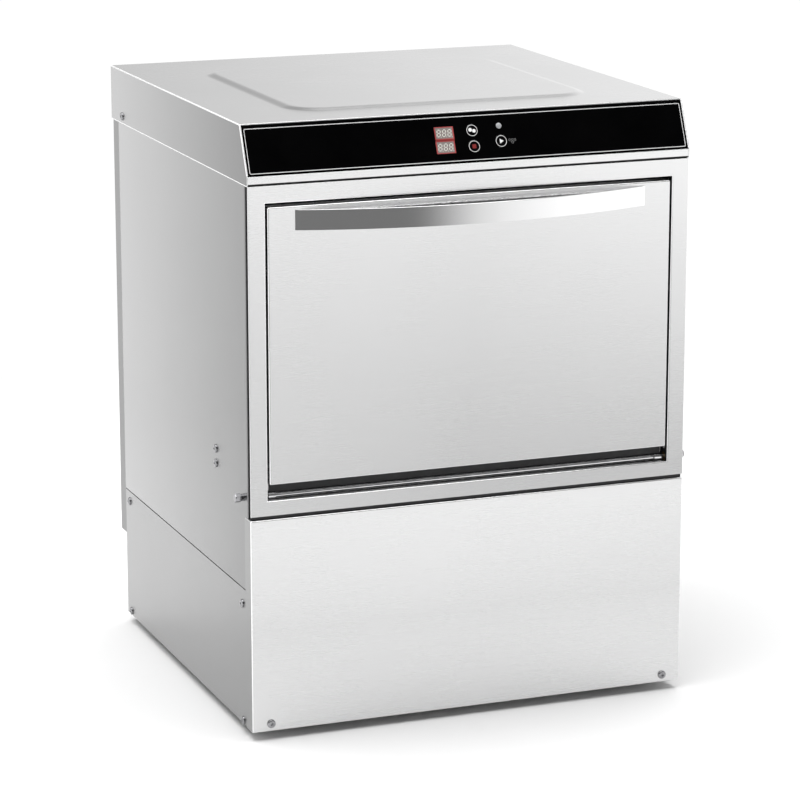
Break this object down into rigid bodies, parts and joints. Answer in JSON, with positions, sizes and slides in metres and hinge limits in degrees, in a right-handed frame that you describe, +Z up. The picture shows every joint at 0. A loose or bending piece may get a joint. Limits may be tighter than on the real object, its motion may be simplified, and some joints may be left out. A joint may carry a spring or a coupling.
{
  "type": "glass washer machine",
  "caption": "Front-loading under-counter glass washer in stainless steel with a drop-down door, sloping black control fascia and bowed handle.",
  "frame": {"origin": "on the floor under the middle of the overall box", "axes": "+Z up, the front faces -Y, +X to the right of someone looking at the front"},
  "size_m": [0.5196, 0.523, 0.6615],
  "materials": {
    "casing_steel": "satin brushed stainless sheet",
    "structure_steel": "plain folded stainless or zinc-coated sheet",
    "bright_steel": "polished stainless",
    "fastener_steel": "bright plated",
    "fascia_black": "high gloss black",
    "key_black": "gloss black with a white ring and symbol",
    "display": "dull red digits behind a window",
    "lamp": "unlit grey lens",
    "board_green": "solder resist",
    "seal_rubber": "soft black",
    "hose_rubber": "ribbed black",
    "arm_plastic": "moulded grey",
    "blue_plastic": "moulded",
    "dark_plastic": "moulded",
    "white_plastic": "moulded",
    "motor_paint": "semi-gloss",
    "copper": "bare copper tube",
    "bronze": "sintered"
  },
  "bodies": {
    "cabinet": {"base_frame": "structure_steel", "corner_posts": "structure_steel", "foot_nuts": "fastener_steel", "lower_front_panel": "casing_steel", "side_panel_right": "casing_steel", "side_panel_left": "casing_steel", "lower_side_panel_right": "casing_steel", "lower_side_panel_left": "casing_steel", "rear_cover": "casing_steel", "lower_rear_panel": "casing_steel", "hood_cover": "casing_steel", "control_fascia": "fascia_black", "door_frame": "casing_steel", "casing_screws": "fastener_steel", "hinge_brackets": "structure_steel", "hinge_bushes": "bronze", "hinge_springs": "fastener_steel", "hinge_bolts": "fastener_steel", "chamber_mouth": "casing_steel", "chamber_wall_right": "casing_steel", "chamber_wall_left": "casing_steel", "chamber_back": "casing_steel", "chamber_roof": "casing_steel", "chamber_floor": "casing_steel", "sump_pan": "casing_steel", "door_gasket": "seal_rubber", "rack_rails": "structure_steel", "sump_filter": "structure_steel", "arm_posts": "bright_steel", "arm_nuts": "dark_plastic", "pump_volute": "dark_plastic", "pump_motor": "motor_paint", "rinse_boiler": "bright_steel", "heating_elements": "fastener_steel", "pump_hoses": "hose_rubber", "riser_pipe": "bright_steel", "rinse_pipe": "copper", "inlet_valve": "white_plastic", "drain_spigot": "dark_plastic", "cable_gland": "dark_plastic", "control_board": "board_green", "display_modules": "display", "indicator_lamp": "lamp", "tank_brackets": "structure_steel", "power_board": "board_green", "dosing_pump": "dark_plastic", "door_switch": "dark_plastic"},
    "door": {"door_outer_skin": "casing_steel", "door_inner_skin": "casing_steel", "door_handle": "bright_steel", "hinge_rod": "bright_steel", "door_magnet": "structure_steel"},
    "lower_wash_arm": {"lower_wash_arm": "bright_steel"},
    "lower_rinse_arm": {"lower_rinse_arm": "arm_plastic"},
    "upper_wash_arm": {"upper_wash_arm": "bright_steel"},
    "upper_rinse_arm": {"upper_rinse_arm": "arm_plastic"},
    "standpipe": {"overflow_standpipe": "blue_plastic"},
    "pump_rotor": {"pump_impeller": "white_plastic"},
    "dosing_rotor": {"dosing_rotor": "white_plastic"},
    "program_key": {"button_program": "key_black"},
    "power_key": {"button_power": "key_black"},
    "start_key": {"button_start": "key_black"},
    "foot_front_left": {"foot_front_left": "dark_plastic"},
    "foot_front_right": {"foot_front_right": "dark_plastic"},
    "foot_rear_left": {"foot_rear_left": "dark_plastic"},
    "foot_rear_right": {"foot_rear_right": "dark_plastic"}
  },
  "joints": [
    {"name": "door_hinge", "type": "hinge", "parent": "cabinet", "child": "door", "pos_m": [0, -0.2165, 0.266], "axis": [1, 0, 0], "range_deg": [0, 90], "stiffness_Nm_per_rad": 2.5, "springref_deg": -11.46},
    {"name": "lower_wash_arm_spin", "type": "hinge", "parent": "cabinet", "child": "lower_wash_arm", "pos_m": [0, 0.006, 0.2485], "axis": [0, 0, 1], "continuous": true},
    {"name": "lower_rinse_arm_spin", "type": "hinge", "parent": "cabinet", "child": "lower_rinse_arm", "pos_m": [0, 0.006, 0.266], "axis": [0, 0, 1], "continuous": true},
    {"name": "upper_wash_arm_spin", "type": "hinge", "parent": "cabinet", "child": "upper_wash_arm", "pos_m": [0, 0.006, 0.5525], "axis": [0, 0, 1], "continuous": true},
    {"name": "upper_rinse_arm_spin", "type": "hinge", "parent": "cabinet", "child": "upper_rinse_arm", "pos_m": [0, 0.006, 0.533], "axis": [0, 0, 1], "continuous": true},
    {"name": "standpipe_lift", "type": "slide", "parent": "cabinet", "child": "standpipe", "axis": [0, 0, 1], "range_m": [0, 0.014]},
    {"name": "pump_spin", "type": "hinge", "parent": "cabinet", "child": "pump_rotor", "pos_m": [-0.165, -0.0085, 0.1], "axis": [0, 1, 0], "continuous": true},
    {"name": "dosing_spin", "type": "hinge", "parent": "cabinet", "child": "dosing_rotor", "pos_m": [0.066, -0.1785, 0.08], "axis": [0, 1, 0], "continuous": true},
    {"name": "program_key_press", "type": "slide", "parent": "cabinet", "child": "program_key", "axis": [0, 0.9149, -0.4036], "range_m": [0, 0.0008], "stiffness_N_per_m": 900, "springref_m": -0.0006},
    {"name": "power_key_press", "type": "slide", "parent": "cabinet", "child": "power_key", "axis": [0, 0.9149, -0.4036], "range_m": [0, 0.0008], "stiffness_N_per_m": 900, "springref_m": -0.0006},
    {"name": "start_key_press", "type": "slide", "parent": "cabinet", "child": "start_key", "axis": [0, 0.9149, -0.4036], "range_m": [0, 0.0008], "stiffness_N_per_m": 900, "springref_m": -0.0006},
    {"name": "foot_front_left_screw", "type": "slide", "parent": "cabinet", "child": "foot_front_left", "axis": [0, 0, -1], "range_m": [0, 0.025]},
    {"name": "foot_front_right_screw", "type": "slide", "parent": "cabinet", "child": "foot_front_right", "axis": [0, 0, -1], "range_m": [0, 0.025]},
    {"name": "foot_rear_left_screw", "type": "slide", "parent": "cabinet", "child": "foot_rear_left", "axis": [0, 0, -1], "range_m": [0, 0.025]},
    {"name": "foot_rear_right_screw", "type": "slide", "parent": "cabinet", "child": "foot_rear_right", "axis": [0, 0, -1], "range_m": [0, 0.025]}
  ]
}
